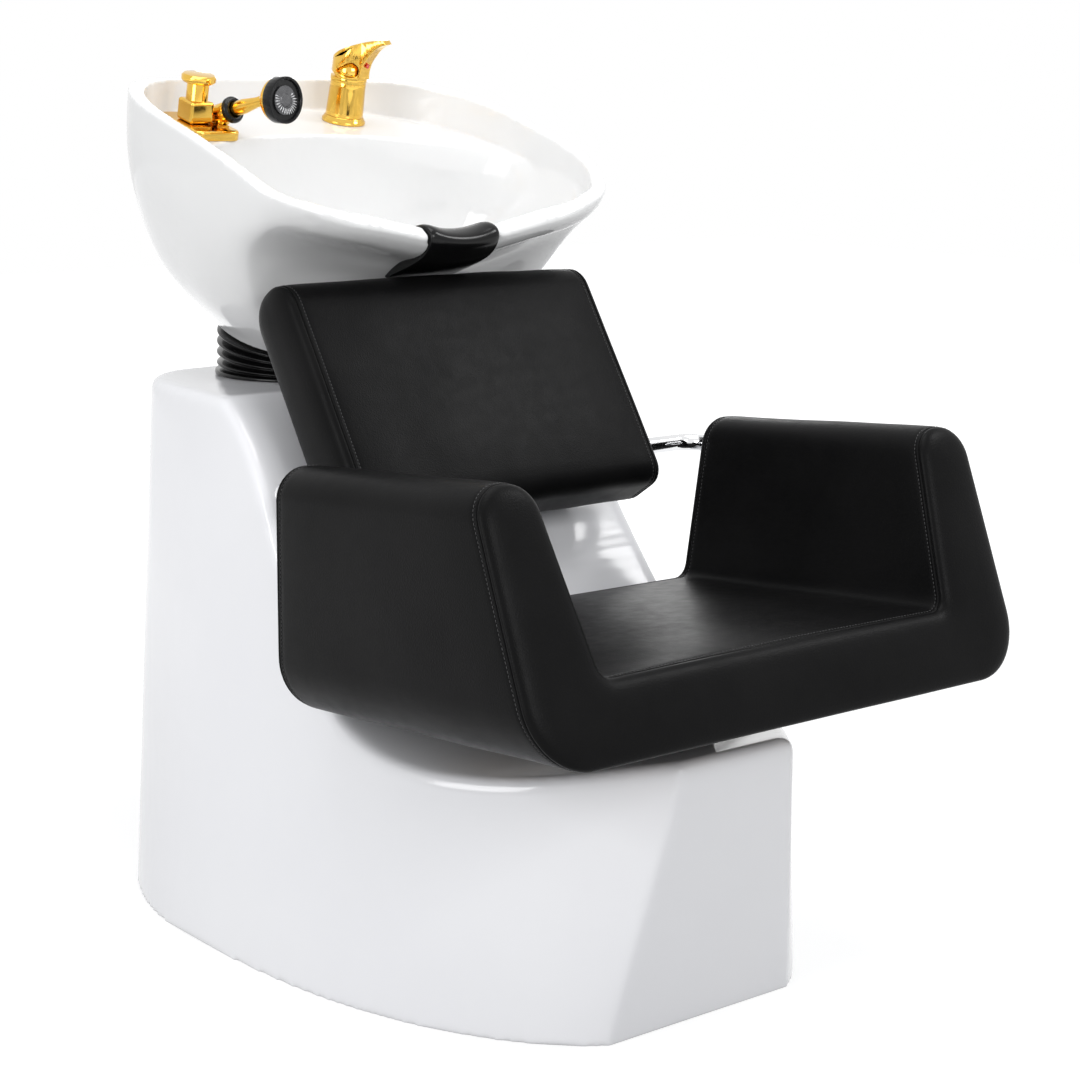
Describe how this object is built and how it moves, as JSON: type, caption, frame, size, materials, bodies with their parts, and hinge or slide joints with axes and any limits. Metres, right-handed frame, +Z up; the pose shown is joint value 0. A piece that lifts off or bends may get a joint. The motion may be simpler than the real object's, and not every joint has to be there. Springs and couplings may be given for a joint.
{
  "type": "hair washing bed",
  "caption": "Salon backwash unit: upholstered chair with arms and leaning backrest, joined to a moulded pedestal with a tilting wash basin, mixer tap and hand spray.",
  "frame": {"origin": "centre of the four floor anchor holes, at floor level", "axes": "+Z up, the sitter faces -Y, +X is the sitter's left"},
  "size_m": [0.708, 1.0835, 1.0851],
  "materials": {
    "shell_white": "gloss gel coat",
    "bowl_glaze": "glazed ceramic",
    "black_leather": "soft semi-matt",
    "rail_chrome": "polished",
    "frame_paint": "satin",
    "fastener_steel": "zinc plated",
    "bracket_black": "satin",
    "plywood": "raw",
    "black_rubber": "glossy",
    "drain_chrome": "polished",
    "drain_plastic": "matt",
    "friction_lining": "matt",
    "gold_metal": "polished gold",
    "spray_black": "gloss",
    "spray_steel": "satin",
    "index_mark": "gloss"
  },
  "bodies": {
    "root": {"base_shell": "shell_white", "rear_access_panel": "shell_white", "panel_screws": "fastener_steel", "floor_plate": "frame_paint", "column_post": "frame_paint", "seat_riser": "frame_paint", "frame_brace": "frame_paint", "seat_plate": "frame_paint", "seat_bolts": "fastener_steel", "seat_board": "plywood", "seat_upholstery": "black_leather", "back_rail": "rail_chrome", "rail_rosettes": "rail_chrome", "rail_collars": "rail_chrome", "arm_end_bracket": "bracket_black", "tilt_clevis": "frame_paint", "tilt_pin": "fastener_steel", "tilt_pin_nut": "fastener_steel", "friction_discs": "friction_lining", "bellows": "black_rubber"},
    "backrest": {"backrest_cushion": "black_leather", "backrest_sleeve": "fastener_steel"},
    "bowl": {"tilt_plate": "frame_paint", "tilt_bolts": "fastener_steel", "bowl": "bowl_glaze", "neck_rest": "black_rubber", "drain_flange": "drain_chrome", "drain_tail": "drain_plastic", "drain_seal": "black_rubber", "drain_nut": "drain_plastic", "mixer_base_ring": "gold_metal", "mixer_body": "gold_metal", "mixer_shank": "gold_metal", "mixer_lock_nut": "fastener_steel", "mixer_inlets": "fastener_steel", "breaker_plate": "gold_metal", "breaker_body": "gold_metal", "breaker_cap": "gold_metal", "breaker_shank": "gold_metal", "breaker_nut": "fastener_steel", "hose_guide": "gold_metal", "guide_ring": "spray_black"},
    "strainer": {"drain_strainer": "drain_chrome"},
    "mixer_collar": {"mixer_dome": "gold_metal"},
    "lever": {"mixer_lever": "gold_metal", "lever_index": "index_mark"},
    "sprayer": {"spray_handle": "gold_metal", "spray_bell": "gold_metal", "spray_rim": "spray_black", "spray_face": "spray_steel"}
  },
  "joints": [
    {"name": "bowl_tilt", "type": "hinge", "parent": "root", "child": "bowl", "pos_m": [0, 0.4222, 0.6825], "axis": [1, 0, 0], "range_deg": [-13.5, 0], "deforming": ["bellows"]},
    {"name": "backrest_tilt", "type": "hinge", "parent": "root", "child": "backrest", "pos_m": [0, 0.05, 0.58], "axis": [-1, 0, 0], "range_deg": [0, 6]},
    {"name": "mixer_swivel", "type": "hinge", "parent": "bowl", "child": "mixer_collar", "pos_m": [0.098, 0.50602, 1.03161], "axis": [0, -0.2334, 0.9724], "range_deg": [-72, 28]},
    {"name": "mixer_lift", "type": "hinge", "parent": "mixer_collar", "child": "lever", "pos_m": [0.098, 0.50322, 1.04328], "axis": [-0.9272, -0.3643, -0.0875], "range_deg": [0, 18]},
    {"name": "sprayer_pull", "type": "slide", "parent": "bowl", "child": "sprayer", "axis": [0.2022, -0.9539, 0.2218], "range_m": [0, 0.12]},
    {"name": "strainer_lift", "type": "slide", "parent": "bowl", "child": "strainer", "axis": [0, -0.2334, 0.9724], "range_m": [0, 0.03]}
  ]
}
